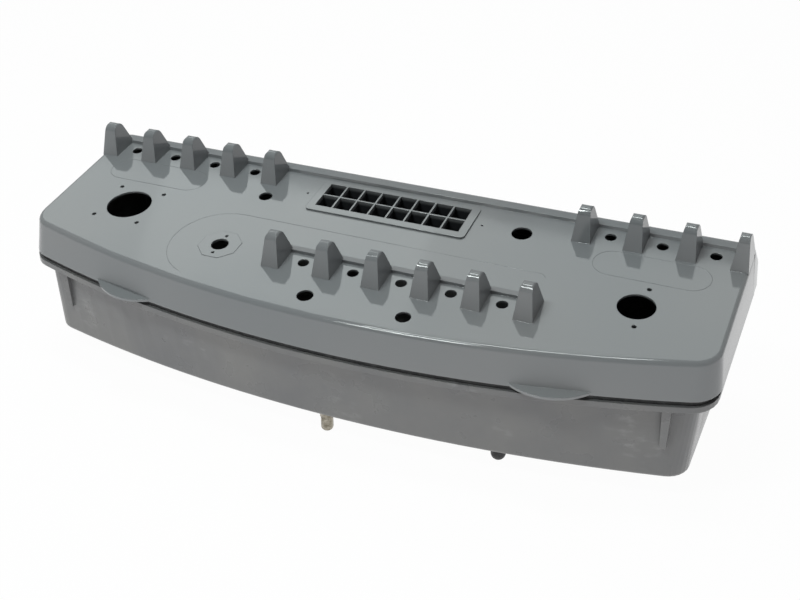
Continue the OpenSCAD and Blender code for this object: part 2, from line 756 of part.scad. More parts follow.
// Bezel plate over a box of cells, held by four snap lugs under the deck
module lamp_grid() {
    low = [grid_low[0] - bezel_end, grid_low[1] - bezel_front];
    size = grid_size + [2 * bezel_end, bezel_front + bezel_back];
    crate = grid_size + [2 * cell_wall, 2 * cell_wall];
    lug = [12, 1.2, 3];
    color(lid_grey) on_deck() difference() {
        union() {
            translate([low[0], low[1], 0]) bezel_plate(size);
            translate([grid_low[0] - cell_wall, grid_low[1] - cell_wall, -grid_depth])
                cube([crate[0], crate[1], grid_depth + bezel_t / 2]);
            for (end = [0, 1], x = [0.2, 0.8])
                translate([
                    grid_low[0] + x * grid_size[0] - lug[0] / 2,
                    end == 0 ? grid_low[1] - cell_wall - lug[1] : grid_high[1] + cell_wall - over,
                    -lid_t - grid_gap - lug[2]
                ]) cube([lug[0], lug[1] + over, lug[2]]);
        }
        for (i = [0 : grid_cols - 1], j = [0 : grid_rows - 1])
            translate([grid_low[0] + i * grid_pitch_x, grid_low[1] + j * grid_pitch_y, -grid_depth - over])
                cube([grid_clear[0], grid_clear[1], grid_depth + bezel_t + 2 * over]);
    }
}

// Flat plate with rounded corners
module bezel_plate(size) {
    r = bezel_corner_r;
    linear_extrude(bezel_t) polygon(concat(
        arc(r, r, r, 180, 270, corner_steps),
        arc(size[0] - r, r, r, 270, 360, corner_steps),
        arc(size[0] - r, size[1] - r, r, 0, 90, corner_steps),
        arc(r, size[1] - r, r, 90, 180, corner_steps)
    ));
}

// Moulded pad behind a hinge, and the pocket for its nuts
pad_w = leaf_w + 4;
pad_top = gap_drop + flange_t / 2;
wall_y = rear_seam[0] - flange_w;
module hinge_pad() {
    z0 = rear_seam[1];
    translate([-pad_w / 2, 0, 0]) rotate([90, 0, 90]) linear_extrude(pad_w)
        polygon([
            [wall_y - tub_t / 2, z0 - pad_top], [rear_seam[0], z0 - pad_top],
            [rear_seam[0], z0 - pad_drop], [wall_y - tub_t / 2, z0 - pad_drop - flange_w]
        ]);
}
module hinge_pocket() {
    z0 = rear_seam[1];
    roof = gap_drop + flange_t + tub_t;
    translate([-pad_w / 2 + tub_t, 0, 0]) rotate([90, 0, 90]) linear_extrude(pad_w - 2 * tub_t)
        polygon([
            [wall_y - 3 * tub_t, z0 - roof], [rear_seam[0] - tub_t, z0 - roof],
            [rear_seam[0] - tub_t, z0 - pad_drop], [wall_y - 3 * tub_t, z0 - pad_drop - flange_w + tub_t]
        ]);
}

// Gusset under the flange: deep and wide at the top, shallow and narrow at the bottom
function bow_y(x, grow, extra) =
    let (r = bow_r + grow + extra) -front_reach - grow + r - sqrt(r * r - x * x);
module gusset(x) {
    front = bow_y(x, lip[1] - flange_t - 0.5, 0);
    wall = bow_y(x, lip[1] - flange_w, 0);
    floor_wall = bow_y(x, lip[1] - flange_w - draw_front, floor_bow_add);
    top = gap_drop + flange_t;
    share = (gusset_drop - top) / (seam_z(wall) - top - floor_h);
    low_wall = wall + (floor_wall - wall) * share;
    root = gap_drop + flange_t / 2;
    translate([x, 0, seam_z(wall)]) intersection() {
        rotate([90, 0, 90]) translate([0, 0, -gusset_t]) linear_extrude(2 * gusset_t) polygon([
            [wall + tub_t / 2, -root], [front, -root],
            [low_wall - gusset_tip, -gusset_drop], [low_wall + tub_t / 2, -gusset_drop]
        ]);
        rotate([90, 0, 0]) translate([0, 0, -case_w / 4]) linear_extrude(case_w / 2) polygon([
            [-gusset_t / 2, -root + over], [gusset_t / 2, -root + over],
            [gusset_low_t / 2, -gusset_drop - over], [-gusset_low_t / 2, -gusset_drop - over]
        ]);
    }
}

// Places of the four feet
foot_x = half_w - foot_margin;
feet = [
    [-foot_x, foot_front_y], [foot_x, foot_front_y],
    [-foot_x, foot_rear_y], [foot_x, foot_rear_y]
];
gland_at = [0, -gland_front];
grommet_at = [grommet_x, -grommet_front];
gland_thread_r = 5;
grommet_neck_r = grommet_r - 1;

module tub() {
    rounding = [for (a = [90, 67.5, 45, 22.5, 0])
        [floor_edge_r * (1 - sin(a)), floor_edge_r * (1 - cos(a))]];
    inner_r = max(floor_edge_r - tub_t, 1);
    color(tub_grey) difference() {
        union() {
            loft(concat(
                [
                    floor_ring(tub_t + inner_r, floor_h + tub_t),
                    floor_ring(tub_t, floor_h + tub_t + inner_r),
                    flange_ring(flange_w + tub_t, gap_drop, flange_side),
                    flange_ring(0, gap_drop),
                    flange_ring(0, lip_drop),
                    flange_ring(flange_t, lip_drop),
                    flange_ring(flange_t, gap_drop + flange_t),
                    flange_ring(flange_w, gap_drop + flange_t, flange_side)
                ],
                [for (q = rounding) floor_ring(q[0], floor_h + q[1])]
            ));
            for (side = [-1, 1]) translate([side * hinge_x, 0, 0]) hinge_pad();
            gusset(gusset_left_margin - half_w);
            gusset(half_w - gusset_right_margin);
        }
        for (side = [-1, 1]) translate([side * hinge_x, 0, 0]) hinge_pocket();
        for (side = [-1, 1], x = screw_places) at_tub_leaf(side * hinge_x)
            hole_y(x, -screw_run, screw_r + screw_gap, -pin_out - tub_t - over, -pin_out + over);
        for (f = feet) floor_hole(f, foot_screw_r + screw_gap);
        floor_hole(gland_at, gland_thread_r + screw_gap);
        floor_hole(grommet_at, grommet_neck_r);
    }
}
module floor_hole(at, r) {
    translate([at[0], at[1], floor_h - over]) cylinder(r = r, h = tub_t + 2 * over);
}

// Rubber strip on the ledge, just clear of the lid's lower edge
module gasket() {
    inner = gasket_in + gasket_w;
    color(rubber_black) band([
        flange_ring(inner, gasket_gap),
        flange_ring(gasket_in, gasket_gap),
        flange_ring(gasket_in, gap_drop),
        flange_ring(inner, gap_drop)
    ]);
}

// Hinge: knuckle places along the pin, the middle one is the lid's
knuckle_l = (leaf_w - 2 * knuckle_gap) / 3;
tub_knuckles = [-leaf_w / 2, leaf_w / 2 - knuckle_l];
leaf_clear = 0.6;

module knuckle(x) {
    translate([x, 0, 0]) rotate([0, 90, 0]) cylinder(r = knuckle_r, h = knuckle_l);
}
module pin_bore() {
    translate([-leaf_w, 0, 0]) rotate([0, 90, 0]) cylinder(r = pin_r + pin_gap, h = 2 * leaf_w);
}

// A leaf with its plate above the pin, and the knuckles that start at the given places
module leaf(knuckles, length, run) {
    root = knuckle_r + leaf_clear;
    color(zinc) difference() {
        union() {
            translate([-leaf_w / 2, -pin_out, root]) cube([leaf_w, leaf_t, length - root]);
            for (x = knuckles) {
                knuckle(x);
                translate([x, -pin_out, 0]) cube([knuckle_l, leaf_t, root + over]);
            }
        }
        pin_bore();
        for (x = screw_places) hole_y(x, run, screw_r + screw_gap, -pin_out - over, over);
    }
}
module lid_leaf(side) {
    at_lid_leaf(side * hinge_x) leaf([-knuckle_l / 2], lid_leaf_l, lid_screw_run);
}
module tub_leaf(side) {
    at_tub_leaf(side * hinge_x) mirror([0, 0, 1]) leaf(tub_knuckles, leaf_l, screw_run);
}
module hinge_pin(side) {
    head_r = pin_r + 1.2;
    length = leaf_w + 2 * knuckle_gap;
    color(zinc) at_tub_leaf(side * hinge_x) rotate([0, 90, 0]) {
        cylinder(r = pin_r, h = length, center = true);
        for (end = [-1, 1]) translate([0, 0, end * (length + pin_head_t) / 2])
            cylinder(r = head_r, h = pin_head_t, center = true);
    }
}

// Pan-head screw along -Y with its head outside, and its nut
head_r = 3.6;
head_t = 2.3;
nut_t = 3.2;
nut_af = 7;
module hinge_screw(wall) {
    length = leaf_t + wall + nut_t + 1.5;
    color(zinc) rotate([-90, 0, 0]) difference() {
        union() {
            cylinder(r = head_r, h = head_t);
            translate([0, 0, -length]) cylinder(r = screw_r, h = length + over);
        }
        for (turn = [0, 90]) rotate(turn) translate([-1.8, -0.45, head_t - 1.1])
            cube([3.6, 0.9, 2]);
    }
}
module hinge_nut(wall) {
    color(zinc) translate([0, -leaf_t - wall - nut_t, 0]) rotate([-90, 0, 0]) difference() {
        cylinder(r = nut_af / 2 / cos(30), h = nut_t, $fn = 6);
        translate([0, 0, -over]) cylinder(r = screw_r + 0.02, h = nut_t + 2 * over);
    }
}
module on_lid_leaf() {
    for (side = [-1, 1], x = screw_places) at_lid_leaf(side * hinge_x)
        translate([x, leaf_t - pin_out, lid_screw_run]) children();
}
module on_tub_leaf() {
    for (side = [-1, 1], x = screw_places) at_tub_leaf(side * hinge_x)
        translate([x, leaf_t - pin_out, -screw_run]) children();
}

// Rubber foot with a recess for the screw's head and washer
foot_web = 10;
foot_recess_r = 7;
washer_t = 1.2;
washer_r = 6.2;
foot_head_t = 3.4;
foot_nut_t = 4;
module foot(at) {
    edge = 1.5;
    ground_r = foot_r - foot_taper;
    color(rubber_black) translate([at[0], at[1], 0]) rotate_extrude($fn = 64) difference() {
        union() {
            polygon([
                [0, 0], [ground_r - edge, 0], [ground_r, edge],
                [foot_r, floor_h - edge], [foot_r, floor_h], [0, floor_h]
            ]);
            translate([ground_r - edge, edge]) circle(edge, $fn = 24);
        }
        square([foot_recess_r, floor_h - foot_web]);
        square([foot_screw_r + screw_gap, floor_h + over]);
    }
}
module foot_washer(at) {
    color(zinc) translate([at[0], at[1], floor_h - foot_web - washer_t]) difference() {
        cylinder(r = washer_r, h = washer_t);
        translate([0, 0, -over]) cylinder(r = foot_screw_r + screw_gap, h = washer_t + 2 * over);
    }
}
module foot_screw(at) {
    seat = floor_h - foot_web - washer_t;
    top = floor_h + tub_t + foot_nut_t + 2;
    color(zinc) translate([at[0], at[1], 0]) difference() {
        union() {
            translate([0, 0, seat - foot_head_t]) cylinder(r = 4.6, h = foot_head_t);
            translate([0, 0, seat - over]) cylinder(r = foot_screw_r, h = top - seat + over);
        }
        for (turn = [0, 90]) rotate(turn) translate([-2.4, -0.6, seat - foot_head_t - over])
            cube([4.8, 1.2, over + 1.6]);
    }
}
module foot_nut(at) {
    af = 8;
    color(zinc) translate([at[0], at[1], floor_h + tub_t]) difference() {
        cylinder(r = af / 2 / cos(30), h = foot_nut_t, $fn = 6);
        translate([0, 0, -over]) cylinder(r = foot_screw_r + 0.02, h = foot_nut_t + 2 * over);
    }
}

// Cable gland, from the tub's underside down
seal_t = 1.5;
gland_hex_t = 6;
gland_bore_r = 3.4;
gland_cap_r = gland_af / 2 + 0.3;
gland_lock_t = 3.5;
hex_low = floor_h - seal_t - gland_hex_t;
stub_low = hex_low - 8;
module gland_body() {
    top = floor_h + tub_t + gland_lock_t + 2.5;
    color(nickel) translate([gland_at[0], gland_at[1], 0]) difference() {
        union() {
            translate([0, 0, hex_low]) rotate(30)
                cylinder(r = gland_af / 2 / cos(30), h = gland_hex_t, $fn = 6);
            translate([0, 0, stub_low]) cylinder(r = gland_thread_r, h = top - stub_low);
        }
        translate([0, 0, stub_low - over]) cylinder(r = gland_bore_r, h = top - stub_low + 2 * over);
    }
}
module gland_seal() {
    color(rubber_black) translate([gland_at[0], gland_at[1], floor_h - seal_t]) difference() {
        cylinder(r = gland_af / 2 + 0.6, h = seal_t);
        translate([0, 0, -over]) cylinder(r = gland_thread_r + screw_gap, h = seal_t + 2 * over);
    }
}
module gland_cap() {
    dome = 5;
    mouth = 4;
    wall_r = gland_thread_r + 0.25;
    color(nickel) translate([gland_at[0], gland_at[1], 0]) rotate_extrude($fn = 64) difference() {
        union() {
            translate([0, gland_tip_h + dome]) square([gland_cap_r, hex_low - 0.2 - gland_tip_h - dome]);
            translate([gland_cap_r - dome, gland_tip_h + dome]) circle(dome);
            translate([0, gland_tip_h]) square([gland_cap_r - dome, dome + over]);
        }
        translate([-2 * dome, gland_tip_h - dome]) square([2 * dome, 4 * dome + hex_low]);
        translate([0, gland_tip_h - over]) square([gland_bore_r, mouth + 2 * over]);
        translate([0, gland_tip_h + mouth]) square([wall_r, hex_low]);
    }
}
module gland_insert() {
    low = gland_tip_h + 4;
    color(rubber_black) translate([gland_at[0], gland_at[1], low]) difference() {
        cylinder(r = gland_thread_r, h = stub_low - low);
        translate([0, 0, -over]) cylinder(r = 2.4, h = stub_low - low + 2 * over);
    }
}
module gland_locknut() {
    color(nickel) translate([gland_at[0], gland_at[1], floor_h + tub_t]) difference() {
        cylinder(r = gland_af / 2 / cos(30), h = gland_lock_t, $fn = 6);
        translate([0, 0, -over]) cylinder(r = gland_thread_r + 0.02, h = gland_lock_t + 2 * over);
    }
}

// Blind rubber grommet: a closed sleeve below, a lip on each side of the floor
module blind_grommet() {
    lip_t = 1.8;
    lip_out = 0.8;
    inside_out = 1.6;
    hollow_r = grommet_r - 2.4;
    color(rubber_black) translate([grommet_at[0], grommet_at[1], floor_h]) rotate_extrude($fn = 64)
        difference() {
            union() {
                translate([0, -grommet_l + grommet_r]) intersection() {
                    circle(grommet_r);
                    translate([0, -grommet_r]) square([grommet_r, 2 * grommet_r]);
                }
                translate([0, -grommet_l + grommet_r]) square([grommet_r, grommet_l - grommet_r]);
                translate([0, -lip_t]) square([grommet_r + lip_out, lip_t]);
                square([grommet_neck_r - 0.02, tub_t + 0.01]);
                translate([0, tub_t]) square([grommet_neck_r + inside_out, lip_t]);
            }
            translate([0, -grommet_l + grommet_r]) {
                intersection() {
                    circle(hollow_r);
                    translate([0, -hollow_r]) square([hollow_r, 2 * hollow_r]);
                }
                square([hollow_r, grommet_l + tub_t + lip_t]);
            }
        }
}

placed() lid();
placed() lamp_grid();
placed() tub();
placed() gasket();
placed() lid_leaf(-1);  // hinge_leaf_lid_left
placed() lid_leaf(1);  // hinge_leaf_lid_right
placed() tub_leaf(-1);  // hinge_leaf_tub_left
placed() tub_leaf(1);  // hinge_leaf_tub_right
placed() hinge_pin(-1);  // hinge_pin_left
placed() hinge_pin(1);  // hinge_pin_right
placed() on_lid_leaf() hinge_screw(lid_wall_across);  // hinge_screws_lid
placed() on_lid_leaf() hinge_nut(lid_wall_across);  // hinge_nuts_lid
placed() on_tub_leaf() hinge_screw(tub_t);  // hinge_screws_tub
placed() on_tub_leaf() hinge_nut(tub_t);  // hinge_nuts_tub
placed() foot(feet[0]);  // foot_front_left
placed() foot(feet[1]);  // foot_front_right
placed() foot(feet[2]);  // foot_rear_left
placed() foot(feet[3]);  // foot_rear_right
placed() for (f = feet) foot_screw(f);  // foot_screws
placed() for (f = feet) foot_washer(f);  // foot_washers
placed() for (f = feet) foot_nut(f);  // foot_nuts
placed() gland_body();
placed() gland_seal();
placed() gland_insert();
placed() gland_cap();
placed() gland_locknut();
placed() blind_grommet();
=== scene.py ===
# %% [markdown]
# # A control console box, dressed for a studio picture
# The box is two mouldings of grey plastic, a glossy lid and a satin tub, with small metal and
# rubber fittings. Its construction comes in as a fixed frame of solids at their real size. This
# lesson gives each piece its finish: soft edges where the mould was rounded, gloss that carries
# reflections, fine raised lines on the deck, and light that shows all of it.

# %% Load the frame
import json
import math

import bmesh
import bpy
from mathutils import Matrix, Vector


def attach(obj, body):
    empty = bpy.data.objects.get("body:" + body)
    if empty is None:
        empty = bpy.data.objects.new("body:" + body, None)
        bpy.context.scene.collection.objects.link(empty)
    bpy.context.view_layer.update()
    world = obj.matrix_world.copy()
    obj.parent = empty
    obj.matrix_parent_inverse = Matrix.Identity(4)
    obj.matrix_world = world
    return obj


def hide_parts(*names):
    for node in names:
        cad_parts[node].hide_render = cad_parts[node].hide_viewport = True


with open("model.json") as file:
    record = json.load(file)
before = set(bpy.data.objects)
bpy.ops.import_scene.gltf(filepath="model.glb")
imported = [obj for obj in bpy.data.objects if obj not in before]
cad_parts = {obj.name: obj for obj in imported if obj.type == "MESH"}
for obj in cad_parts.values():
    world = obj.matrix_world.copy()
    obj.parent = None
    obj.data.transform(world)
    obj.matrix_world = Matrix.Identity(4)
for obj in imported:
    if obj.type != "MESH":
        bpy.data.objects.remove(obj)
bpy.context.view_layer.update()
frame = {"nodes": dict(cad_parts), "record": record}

nodes = frame["nodes"]
mounts = {mount["name"]: mount for mount in frame["record"]["mounts"]}
MM = 0.001

# %% [markdown]
# ## Places on the sloping deck
# Every hole on the deck is given in the frame's record with its place and its axis. Three of them
# are enough to find the deck's own directions: across, along the slope, and straight out of it.
# A small helper then turns a place on the deck into a place in the room, so that each detail is
# written with the sizes that someone would measure on the deck with a ruler.

# %% Deck directions and a helper
DECK_UP = Vector(mounts["knob"]["axis"]).normalized()
DECK_RIGHT = Vector((1, 0, 0))
DECK_BACK = DECK_UP.cross(DECK_RIGHT)
# The first front switch hole lies on the row that deck sizes start from
KNOB_SCREWS = Vector(mounts["knob_screws"]["pos_m"])
FRONT_SWITCH = Vector(mounts["switch_front_1"]["pos_m"])
DECK_START = FRONT_SWITCH + DECK_UP * (KNOB_SCREWS - FRONT_SWITCH).dot(DECK_UP)
DECK_START.x = 0


def on_deck(across, back, rise=0.0):
    """A place in the room for a place on the deck, all in metres."""
    return DECK_START + DECK_RIGHT * across + DECK_BACK * back + DECK_UP * rise


def deck_place(point):
    """The deck sizes of a place in the room: across, back and rise."""
    offset = point - DECK_START
    return offset.dot(DECK_RIGHT), offset.dot(DECK_BACK), offset.dot(DECK_UP)


print("deck slope", round(math.degrees(math.asin(DECK_BACK.z)), 2), "degrees")

# %% [markdown]
# ## The camera
# The photograph was taken from the front right, from above. The place and the direction were
# worked out from the holes, whose real sizes are known, so the picture lines up hole by hole. The
# place is kept from the front switch row, because the holes were measured from there.

# %% Camera
EYE = DECK_START + Vector((0.49573, -0.98833, 0.58931))
LOOK = Vector((-0.34962, 0.79746, -0.49176))
SENSOR_WIDTH = 36
LENS = 53.25

camera_data = bpy.data.cameras.new("studio_camera")
camera_data.sensor_width = SENSOR_WIDTH
camera_data.lens = LENS
camera = bpy.data.objects.new("studio_camera", camera_data)
camera.location = EYE
camera.rotation_euler = LOOK.to_track_quat("-Z", "Y").to_euler()
bpy.context.scene.collection.objects.link(camera)
bpy.context.scene.camera = camera
bpy.context.scene.view_settings.view_transform = "Standard"

# %% [markdown]
# ## White floor and white surroundings
# In the picture the ground is plain white, and the glossy lid mirrors white all round. A floor
# that was only painted white would need far too much lamp light for that, so the floor glows. To
# the camera and in reflections it is plain white. For the light that it throws up onto the walls
# it is brighter, and half of it is the floor's own shading, which is darker close to the box.
#
# The camera sees a white world too. In reflections it is pale behind the box and dark on the
# camera's side. The guards' front faces look that way: those of the front row still see the white
# floor over the edge of the deck, and those of the rear row see little but the grey deck, which is
# why they are so much darker.

# %% Floor and world
FLOOR_SIZE = 40
FLOOR_PAINT = (0.86, 0.86, 0.86)
FLOOR_GLOW = 0.97
BOUNCE_SHARE = 0.5
BOUNCE_LIGHT = 2.4
# The Y of a direction runs from -1 at the camera's side to 1 behind the box. The world is darkest
# up to the first of these two values and palest from the second on
WORLD_TURNS = (-0.7, 0.2)
WORLD_FRONT = 0.06
WORLD_BEHIND = 0.45
WORLD_LIGHT = 0.8


def feed(tree, socket, value):
    """Links a socket to another one, or gives it a plain number or colour."""
    if isinstance(value, bpy.types.NodeSocket):
        tree.links.new(value, socket)
    elif isinstance(value, tuple):
        socket.default_value = (*value, 1)
    else:
        socket.default_value = value


def number(tree, operation, first, second):
    """The outcome of an operation on two values, each a socket or a plain number."""
    step = tree.nodes.new("ShaderNodeMath")
    step.operation = operation
    feed(tree, step.inputs[0], first)
    feed(tree, step.inputs[1], second)
    return step.outputs[0]


def mixed(tree, share, first, second, kind="FLOAT"):
    """The first value where the share is 0, the second where it is 1. Either may be a socket."""
    mix = tree.nodes.new("ShaderNodeMix")
    mix.data_type = kind
    tree.links.new(share, mix.inputs["Factor"])
    feed(tree, mix.inputs["A"], first)
    feed(tree, mix.inputs["B"], second)
    return mix.outputs["Result"]


def ranged(tree, value, taken, given):
    """A value opened out from one range to another, each a low and a high number."""
    scale = tree.nodes.new("ShaderNodeMapRange")
    for name, limit in zip(("From Min", "From Max", "To Min", "To Max"), (*taken, *given)):
        scale.inputs[name].default_value = limit
    tree.links.new(value, scale.inputs["Value"])
    return scale.outputs["Result"]


def seen_directly(tree):
    """A value of 1 for camera, glossy and transmission rays, and 0 for the light on the object."""
    path = tree.nodes.new("ShaderNodeLightPath")
    either = number(tree, "MAXIMUM", path.outputs["Is Camera Ray"], path.outputs["Is Glossy Ray"])
    return number(tree, "MAXIMUM", either, path.outputs["Is Transmission Ray"])


def make_floor():
    bpy.ops.object.select_all(action="DESELECT")
    bpy.ops.mesh.primitive_plane_add(size=FLOOR_SIZE, location=(0, 0, 0))
    floor = bpy.context.object
    floor.name = "studio_floor"
    paint = bpy.data.materials.new("studio_white")
    paint.use_nodes = True
    tree = paint.node_tree
    tree.nodes.clear()
    matt = tree.nodes.new("ShaderNodeBsdfDiffuse")
    matt.inputs["Color"].default_value = (*FLOOR_PAINT, 1)
    glow = tree.nodes.new("ShaderNodeEmission")
    seen = seen_directly(tree)
    tree.links.new(mixed(tree, seen, BOUNCE_LIGHT, 1), glow.inputs["Strength"])
    blend = tree.nodes.new("ShaderNodeMixShader")
    tree.links.new(mixed(tree, seen, BOUNCE_SHARE, FLOOR_GLOW), blend.inputs["Fac"])
    tree.links.new(matt.outputs[0], blend.inputs[1])
    tree.links.new(glow.outputs[0], blend.inputs[2])
    result = tree.nodes.new("ShaderNodeOutputMaterial")
    tree.links.new(blend.outputs[0], result.inputs["Surface"])
    floor.data.materials.append(paint)


def make_world():
    world = bpy.data.worlds.new("studio_world")
    bpy.context.scene.world = world
    world.use_nodes = True
    tree = world.node_tree
    backdrop = tree.nodes["Background"]
    backdrop.inputs["Color"].default_value = (1, 1, 1, 1)
    direction = tree.nodes.new("ShaderNodeTexCoord")
    split = tree.nodes.new("ShaderNodeSeparateXYZ")
    tree.links.new(direction.outputs["Generated"], split.inputs[0])
    whiteness = ranged(tree, split.outputs["Y"], WORLD_TURNS, (WORLD_FRONT, WORLD_BEHIND))
    path = tree.nodes.new("ShaderNodeLightPath")
    lighting = number(tree, "MULTIPLY", whiteness, WORLD_LIGHT)
    mirrored = mixed(tree, path.outputs["Is Glossy Ray"], lighting, whiteness)
    shown = mixed(tree, path.outputs["Is Camera Ray"], mirrored, 1)
    tree.links.new(shown, backdrop.inputs["Strength"])


make_floor()
make_world()

# %% [markdown]
# ## Lamps
# The deck mirrors a patch of the studio behind the box, high up, into the camera. From the holes
# and the tones of the photograph it follows where that patch is white and where it is dark: a long
# and narrow softbox hangs there, which leaves the deck darker along its front and its rear. A
# second one makes its left part brighter. A bright softbox overhead, a little behind the middle,
# lights the deck more than the fronts of the guards, and a small bright lamp hangs out in front.
# These two draw the white glints along the rounded edges. The place of each is given in metres, and
# its brightness, from which its power follows.

# %% Softboxes
COOL_WHITE = (0.93, 1.0, 0.985)
TO_THE_DECK = (0, -0.5, -0.86)
STRAIGHT_DOWN = (0, 0, -1)
FROM_THE_FRONT = (0.2, 0.5, -0.85)


def softbox(name, place, facing, width, height, brightness):
    """A rectangular lamp at a place, facing a direction, with its width level."""
    lamp = bpy.data.lights.new(name, "AREA")
    lamp.color = COOL_WHITE
    lamp.shape = "RECTANGLE"
    lamp.size = width
    lamp.size_y = height
    lamp.energy = brightness * math.pi * width * height
    holder = bpy.data.objects.new(name, lamp)
    holder.location = place
    holder.rotation_euler = Vector(facing).to_track_quat("-Z", "Y").to_euler()
    holder.visible_camera = False
    bpy.context.scene.collection.objects.link(holder)


softbox("sheen", (-1.02, 1.4, 2.0), TO_THE_DECK, width=2.7, height=0.46, brightness=1.55)
softbox("sheen_left", (-1.25, 1.37, 1.99), TO_THE_DECK, width=1.0, height=0.48, brightness=0.5)
softbox("overhead", (-0.3, 0.2, 2.5), STRAIGHT_DOWN, width=1.1, height=0.45, brightness=14)
softbox("glints", (-0.45, -1.05, 1.9), FROM_THE_FRONT, width=0.6, height=0.3, brightness=30)

# %% [markdown]
# ## Finishes
# All finishes start from the same shader, with its plain numbers set on its own sockets. What
# varies over the surface comes from noise that reads each object's own coordinates in metres, so
# a grain keeps its real size on every piece.

# %% Helpers for finishes
# Most of the noise lies between these two values
MIDDLE = (0.35, 0.65)
ROUND_SAMPLES = 6


def new_finish(name, colour, roughness, metallic=0.0):
    finish = bpy.data.materials.new(name)
    finish.use_nodes = True
    shader = finish.node_tree.nodes["Principled BSDF"]
    shader.inputs["Base Color"].default_value = (*colour, 1)
    shader.inputs["Roughness"].default_value = roughness
    shader.inputs["Metallic"].default_value = metallic
    return finish


def grain(finish, size, detail=2.0, stretch=(1, 1, 1)):
    """Noise with spots of a size in metres, drawn out by the stretch."""
    tree = finish.node_tree
    place = tree.nodes.new("ShaderNodeTexCoord")
    mapping = tree.nodes.new("ShaderNodeMapping")
    mapping.inputs["Scale"].default_value = [1 / (size * factor) for factor in stretch]
    noise = tree.nodes.new("ShaderNodeTexNoise")
    noise.inputs["Scale"].default_value = 1
    noise.inputs["Detail"].default_value = detail
    tree.links.new(place.outputs["Object"], mapping.inputs["Vector"])
    tree.links.new(mapping.outputs["Vector"], noise.inputs["Vector"])
    return noise.outputs["Fac"]


def spread(finish, noise, low, high, taken=MIDDLE):
    """The noise opened out to a range of numbers, from the stretch of it that is taken."""
    return ranged(finish.node_tree, noise, taken, (low, high))


def colour_mix(finish, share, first, second):
    return mixed(finish.node_tree, share, first, second, kind="RGBA")


def use_for(finish, socket_name, value):
    tree = finish.node_tree
    tree.links.new(value, tree.nodes["Principled BSDF"].inputs[socket_name])


def rounded(finish, radius):
    """Shading that rounds every sharp edge by a radius in metres."""
    edge = finish.node_tree.nodes.new("ShaderNodeBevel")
    edge.samples = ROUND_SAMPLES
    edge.inputs["Radius"].default_value = radius
    use_for(finish, "Normal", edge.outputs["Normal"])
    return edge.outputs["Normal"]


def relief(finish, value, depth, after=None):
    """Bump of a depth in metres, laid over an earlier one."""
    tree = finish.node_tree
    bump = tree.nodes.new("ShaderNodeBump")
    bump.inputs["Strength"].default_value = 1
    bump.inputs["Distance"].default_value = depth
    tree.links.new(value, bump.inputs["Height"])
    if after is not None:
        tree.links.new(after, bump.inputs["Normal"])
    use_for(finish, "Normal", bump.outputs["Normal"])
    return bump.outputs["Normal"]


# %% [markdown]
# ### Glossy lid plastic
# The lid is a mid grey with a touch of blue, moulded in a polished tool. The gloss is high, but
# not a mirror: the surface waves a little over a hand's width, as thick mouldings do, and has a
# very fine skin. Both are bump, because neither is deep enough to see from the side.

# %% Lid plastic
LID_GREY = (0.188, 0.196, 0.202)
LID_CLOUDS = ((0.18, 0.19, 0.197), (0.197, 0.202, 0.206))
LID_ROUND = 0.8 * MM


def lid_plastic():
    finish = new_finish("lid_plastic", LID_GREY, roughness=0.06)
    cloud = spread(finish, grain(finish, size=0.22, detail=1), 0, 1)
    use_for(finish, "Base Color", colour_mix(finish, cloud, *LID_CLOUDS))
    use_for(finish, "Roughness", spread(finish, grain(finish, size=0.05, detail=3), 0.05, 0.08))
    soft = rounded(finish, LID_ROUND)
    waves = relief(finish, grain(finish, size=0.09, detail=0.5), depth=0.0002, after=soft)
    relief(finish, grain(finish, size=0.0012, detail=1), depth=0.000002, after=waves)
    return finish


# %% [markdown]
# ### Satin tub plastic
# The tub is a little darker than the lid, in a duller finish. It has been handled: it is cloudy,
# and pale scuffs lie across its front. The scuffs are patches where two noises are both high, one
# broad and one drawn out.

# %% Tub plastic
TUB_GREY = (0.155, 0.156, 0.158)
TUB_CLOUDS = ((0.132, 0.133, 0.137), (0.162, 0.16, 0.157))
SCUFF_GREY = (0.3, 0.3, 0.3)
SCUFF_STRETCH = (2.5, 2.5, 1)
TUB_ROUND = 1.0 * MM


def tub_plastic():
    finish = new_finish("tub_plastic", TUB_GREY, roughness=0.3)
    cloud = spread(finish, grain(finish, size=0.07, detail=4), 0, 1, taken=(0.3, 0.7))
    body = colour_mix(finish, cloud, *TUB_CLOUDS)
    patches = spread(finish, grain(finish, size=0.05, detail=3), 0, 1, taken=(0.56, 0.72))
    lines = grain(finish, size=0.006, detail=5, stretch=SCUFF_STRETCH)
    streaks = spread(finish, lines, 0, 0.55, taken=(0.5, 0.75))
    scuffs = number(finish.node_tree, "MULTIPLY", patches, streaks)
    use_for(finish, "Base Color", colour_mix(finish, scuffs, body, SCUFF_GREY))
    use_for(finish, "Roughness", spread(finish, grain(finish, size=0.03, detail=4), 0.26, 0.34))
    soft = rounded(finish, TUB_ROUND)
    waves = relief(finish, grain(finish, size=0.12, detail=1), depth=0.0003, after=soft)
    relief(finish, grain(finish, size=0.0011, detail=2), depth=0.000008, after=waves)
    return finish


# %% [markdown]
# ### The lamp grid's plastic
# The grid is the lid's plastic, but its cells get painted shade below the bezel: the dark that
# falls inside the deep cells of the closed box is painted into their colour. The shader measures
# how far a point lies below the deck's face, and goes from pale to the painted shade between two
# depths.

# %% Grid plastic
# Painted shade: the colour of the cell walls deep below the deck, standing in for the shade inside
# the closed box
CELL_PAINTED_SHADE = (0.035, 0.037, 0.041)
DARK_FROM = 4 * MM
PALE_TO = 0.5 * MM


